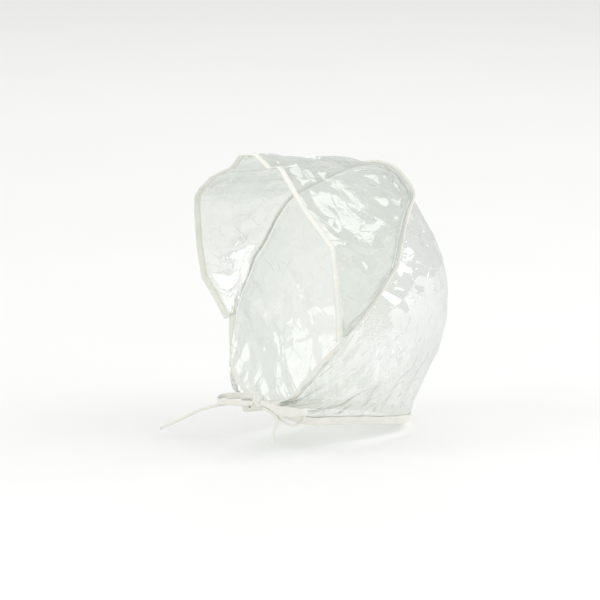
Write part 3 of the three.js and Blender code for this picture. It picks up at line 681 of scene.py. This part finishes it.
visor_film = laid_film("visor_panel_film", list(map(crown_column, visor_ways, visor_tapes)),
                       visor_crumple, "visor_panel")

# Hood panel

HOOD_COLUMNS, HOOD_ROWS = 340, 130
hood_ways = [CORNER_WAY * (-1 + 2 * k / HOOD_COLUMNS) for k in range(HOOD_COLUMNS + 1)]
hem_points = [hem_at(way) for way in hood_ways]
hem_tapes = edge_tapes(
    hem_points,
    [hood_base(way, seam_at(way), point, .9) for way, point in zip(hood_ways, hem_points)],
    [hood_out(way) for way in hood_ways])
# the hem's route is the middle of its tape
hem_tapes = [tape._replace(point=tape.point - tape.depth * HEM_TAPE / 2) for tape in hem_tapes]


def hood_column(way, tape):
    return film_column(tape, HEM_TAPE, seam_tape(way), 1, HOOD_ROWS, (.08, .93),
                       lambda hem_end, seam_end, share: hood_base(way, seam_end, hem_end, 1 - share))


HOOD_MIDDLE = .12               # where the middle of its crumpling lies, up from its hem
hood_folds = [Creases(21, .36, .045, 1.6, math.radians(35)), Creases(22, .36, .018, 1.3, .9),
              Creases(23, .36, .009)]


def hood_crumple(u, v, i, j):
    """Broad, middling and small facets, folds that run to the knot, and gathers above the hem."""
    down = 1 - j / HOOD_ROWS
    drift = noise.noise(Vector((u * 20, v * 20, 0)))
    knotted = fold(6 * down + .4 * drift) * smooth(.45, .9, abs(hood_ways[i]))
    hemmed = fold(40 * hood_ways[i] + .6 * drift) * smooth(.78, .97, down)
    crumpled = crumpling(hood_folds, (3.6, 1.2, .2), u, v - HOOD_MIDDLE)
    return (crumpled + .8 * knotted + .5 * hemmed) * MM


hood_film = laid_film("hood_panel_film", list(map(hood_column, hood_ways, hem_tapes)),
                      hood_crumple, "hood_panel")

# The folded tapes and their stitches

TAPE_THICK = .5 * MM
TAPE_BESIDE = .55 * MM          # from the middle of a folded tape to the side where it is laid
# section of a folded tape: share of its depth, and share of the way above to the side
TAPE_SECTION = [
    (1, 1), (.8, 1.0182), (.5, 1), (.2, 1), (.04, 1), (-.035, .7636), (-.06, 0), (-.035, -.7636),
    (.04, -1), (.2, -1), (.5, -1), (.8, -1.0182), (1, -1),
]
# a stitch is a bead this long, deep and thick from its middle
STITCH_SPACING, STITCH_LONG, STITCH_DEEP, STITCH_THICK = 3 * MM, 1.05 * MM, .24 * MM, .2 * MM
STITCH_LINE = .80               # share of a tape's depth at which it is sewn down


def folded_tape(name, tapes, depths, replaces, seed):
    """A tape folded over an edge and sewn down: a little puckered, its edges not quite even."""
    length = measured([tape.point for tape in tapes])[-1]
    last = len(TAPE_SECTION) - 1

    def put(i, j):
        tape = tapes[i]
        share, side = TAPE_SECTION[j]
        along = length * i / (len(tapes) - 1)
        uneven = noise.noise(Vector((along * 55, seed, j > last / 2))) * .35 * MM * abs(share)
        pucker = noise.noise(Vector((along * 160, seed + 5, j * .2))) * .18 * MM
        aside = side * TAPE_BESIDE + pucker * (1 if side > 0 else -1)
        return tape.point + tape.depth * (share * depths[i] + uneven) + tape.cross * aside

    def flat_at(i, j):
        round_fold = 1 + math.copysign(TAPE_SECTION[j][0], j - last / 2)
        return length * i / (len(tapes) - 1), max(depths) * round_fold

    bm = laid_grid(len(tapes) - 1, last, put, flat_at)
    bmesh.ops.recalc_face_normals(bm, faces=bm.faces[:])
    bm.normal_update()
    bmesh.ops.solidify(bm, geom=bm.faces[:], thickness=TAPE_THICK)
    bmesh.ops.recalc_face_normals(bm, faces=bm.faces[:])
    piece = new_piece(name, bm, TAPE_FINISH)
    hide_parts(replaces)


def stitches(name, tapes, depths):
    """A row of lock stitches down both faces of a tape."""
    bm = bmesh.new()
    count = int(measured([tape.point for tape in tapes])[-1] / STITCH_SPACING)
    out = TAPE_BESIDE + TAPE_THICK * .6
    for k in range(count):
        i = int((k + .5) / count * (len(tapes) - 1))
        tape = tapes[i]
        for side in (1, -1):
            spot = tape.point + tape.depth * depths[i] * STITCH_LINE + tape.cross * side * out
            turn = Matrix((tape.run, tape.depth, tape.cross)).transposed().to_4x4()
            shape = Matrix.Diagonal((STITCH_LONG, STITCH_DEEP, STITCH_THICK, 1))
            bmesh.ops.create_icosphere(
                bm, subdivisions=1, radius=1.0, matrix=Matrix.Translation(spot) @ turn @ shape)
    bmesh.ops.recalc_face_normals(bm, faces=bm.faces[:])
    piece = new_piece(name, bm, THREAD_FINISH)


# the seam's tape is folded over the films' standing edges: its fold is a tape's depth from the stitches
SEAM_COLUMNS = 420
seam_ways = [-1 + 2 * k / SEAM_COLUMNS for k in range(SEAM_COLUMNS + 1)]
seam_tapes = [seam_tape(way) for way in seam_ways]
seam_tapes = [tape._replace(point=tape.point - tape.depth * SEAM_TAPE) for tape in seam_tapes]

# it is a narrow bead along the top of the welt and lies full width low down at the hood's front; the
# hem's tape narrows towards the hood's front corners
WELT_TAPE, LYING_TAPE = 3.2 * MM, SEAM_TAPE + 1 * MM
visor_depths = [VISOR_TAPE] * len(visor_tapes)
seam_depths = [mix(WELT_TAPE, LYING_TAPE, smooth(.55, .74, abs(way))) for way in seam_ways]
hem_depths = [mix(HEM_TAPE, HEM_TAPE / 2, smooth(.86, 1, abs(way) / CORNER_WAY)) for way in hood_ways]

folded_tape("visor_binding_tape", visor_tapes, visor_depths, "visor_binding", 1)
folded_tape("seam_binding_tape", seam_tapes, seam_depths, "seam_binding", 2)
folded_tape("hem_binding_tape", hem_tapes, hem_depths, "hem_binding", 3)
stitches("visor_binding_stitches", visor_tapes, visor_depths)
stitches("seam_binding_stitches", seam_tapes, seam_depths)
stitches("hem_binding_stitches", hem_tapes, hem_depths)

# The bow

# out in shares of the loop's length, before in knot depths, up and wide in tape widths: out along
# the front strand, where the tape opens flat, and back along the rear one
LEFT_LOOP_ROWS = [
    (0, .26, 0, .80), (.25, .40, -.20, 1.00), (.45, .46, -.60, 1.75), (.65, .46, -.45, 1.90),
    (.85, .40, -.30, 1.55), (1, .20, -.17, 1.20), (.96, .04, -.80, .90), (.87, 0, -1.75, .55),
    (.74, 0, -2.75, .45), (.60, 0, -2.95, .45), (.45, 0, -2.55, .45), (.20, 0, -1.45, .50),
    (0, 0, -.65, .50),
]
RIGHT_LOOP_ROWS = [
    (0, .28, -.40, .80), (.30, .38, -.80, .95), (.70, .38, -1.12, 1.00), (.94, .33, -1.30, .95),
    (1, .14, -1.00, .80), (.95, -.02, -.60, .80), (.70, -.06, -.20, 1.10), (.35, -.06, .32, 1.20),
    (0, -.04, .70, .80),
]
BOW_TAPE, BOW_THICK = 6 * MM, .6 * MM
LEFT_LOOP_LONG, RIGHT_LOOP_LONG = 60 * MM, 50 * MM
BESIDE_KNOT = .8 * MM           # from the CAD's knot to where a loop's first row stands
INTO_KNOT = 1.5 * MM            # how far the tape runs on from there under the knot's wrap
LOOP_FINE = 12                  # steps of a loop's route from row to row
LOOP_STEPS = 120


def bow_loop(name, rows, length, side, seed, replaces):
    """A loop of the bow, to the wearer's left where side is 1: one tape out and back, its ends under
    the knot's wrap."""
    start = KNOT_WIDE / 2 + BESIDE_KNOT
    spots = [KNOT_MIDDLE + Vector((side * (start + out * length), -before * KNOT_DEEP, up * BOW_TAPE))
             for out, before, up, _ in rows]
    under = Vector((side * INTO_KNOT, 0, 0))
    route = Route([spots[0] - under, *spots, spots[-1] - under], LOOP_FINE)
    shares = [along / route.length for along in route.along[::LOOP_FINE]]
    widths = list(zip(shares, [rows[0][3], *(row[3] for row in rows), rows[-1][3]]))
    turn_from, turn_to = shares[3], shares[-4]  # it turns back between its third rows from either end

    def face_at(share):
        angle = math.pi * smooth(turn_from, turn_to, share)
        wave = noise.noise(Vector((share * 5, seed, 0))) * .5
        return Vector((math.sin(angle) * side, -math.cos(angle), .15 + wave))

    piece = band(name, route, LOOP_STEPS, BOW_TAPE, BOW_THICK, face_at,
                 lambda share: column(widths, 1, share), .07, seed)
    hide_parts(replaces)


bow_loop("bow_loop_left_tape", LEFT_LOOP_ROWS, LEFT_LOOP_LONG, 1, 4, "bow_loop_left")
bow_loop("bow_loop_right_tape", RIGHT_LOOP_ROWS, RIGHT_LOOP_LONG, -1, 9, "bow_loop_right")


KNOT_AROUND, KNOT_ALONG = 40, 10    # steps round the wrap and across it
KNOT_RAISED = 1.5 * MM          # the wrap's middle above the middle of the bow's strands
KNOT_LEAN = .25                 # how far its top leans to the wearer's right, as a share of its height


def bow_knot():
    """The knot: a band of tape wrapped round the others, pulled tight, with folds that run into it."""

    def put(i, j):
        angle, way = math.tau * i / KNOT_AROUND, j / KNOT_ALONG - .5
        lump = .06 * noise.noise(Vector((math.cos(angle), math.sin(angle), way * 4)))
        drawn_in = 1 - .40 * (2 * abs(way)) ** 3
        swell = (1 + .12 * math.sin(5 * angle + way * 7) + lump) * drawn_in
        up = KNOT_RAISED + math.cos(angle) * KNOT_TALL * .56 * swell
        return KNOT_MIDDLE + Vector((
            way * KNOT_WIDE * .90 - KNOT_LEAN * up, math.sin(angle) * KNOT_DEEP * .46 * swell, up))

    bm = laid_grid(KNOT_AROUND, KNOT_ALONG, put, lambda i, j: (
        math.pi * KNOT_TALL * i / KNOT_AROUND, KNOT_WIDE * j / KNOT_ALONG))
    bmesh.ops.remove_doubles(bm, verts=bm.verts[:], dist=1e-6)
    bmesh.ops.holes_fill(bm, edges=bm.edges[:], sides=0)
    bmesh.ops.recalc_face_normals(bm, faces=bm.faces[:])
    piece = new_piece("bow_knot_wrap", bm, TAPE_FINISH)
    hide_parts("bow_knot")


bow_knot()

# Floor, world and lights

FLOOR_HEIGHT = -290 * MM
FLOOR_REACH = 5.0


def studio_floor():
    """A wide floor in matt wall paint: pale and even, with hardly a mottle."""
    material, tree = finish_tree("matt_pale_floor")
    spot = add(tree, "ShaderNodeTexCoord")
    mottle = add(tree, "ShaderNodeTexNoise", None, Vector=spot.outputs["Object"], Scale=.006 / MM,
                 Detail=3.0)
    tint = add(tree, "ShaderNodeMix", {"data_type": "RGBA"}, Factor=mottle.outputs["Fac"],
               i6=ink("#efefee"), i7=ink("#f2f2f1"))
    paint = add(tree, "ShaderNodeBsdfPrincipled", None, Base_Color=tint.outputs[2], Roughness=0.9)
    add(tree, "ShaderNodeOutputMaterial", None, Surface=paint.outputs[0])
    bm = bmesh.new()
    bmesh.ops.create_circle(bm, cap_ends=True, segments=96, radius=FLOOR_REACH,
                            matrix=Matrix.Translation((0, 0, FLOOR_HEIGHT)))
    mesh = bpy.data.meshes.new("studio_floor")
    bm.to_mesh(mesh)
    bm.free()
    floor = bpy.data.objects.new("studio_floor", mesh)
    bpy.context.scene.collection.objects.link(floor)
    mesh.materials.append(material)


studio_floor()

world = bpy.data.worlds.new("studio")
bpy.context.scene.world = world
world.use_nodes = True
world.node_tree.nodes["Background"].inputs["Color"].default_value = ink("#eeeeee")
world.node_tree.nodes["Background"].inputs["Strength"].default_value = 0.96


def soft_light(name, spot, width, height, watts):
    """A large soft lamp at spot that looks at the middle of the bonnet."""
    lamp = bpy.data.lights.new(name, "AREA")
    lamp.shape, lamp.size, lamp.size_y, lamp.energy = "RECTANGLE", width, height, watts
    light = bpy.data.objects.new(name, lamp)
    bpy.context.scene.collection.objects.link(light)
    light.location = spot
    light.rotation_mode = "QUATERNION"
    light.rotation_quaternion = (LIT_MIDDLE - Vector(spot)).to_track_quat("-Z", "Y")
    light.visible_camera = False


LIT_MIDDLE = Vector((0, 0, -.14))
soft_light("key_light", (-1.0, -2.0, 1.7), 1.6, 1.4, 15)
soft_light("side_light", (1.75, 1.1, 1.4), 2.4, 2.2, 27)
soft_light("back_light", (-1.6, 1.5, 1.3), 1.0, .8, 4)
soft_light("sparkle_light", (.5, -2.2, 1.2), .25, .25, 1.6)

bpy.context.scene.view_settings.view_transform = "Standard"
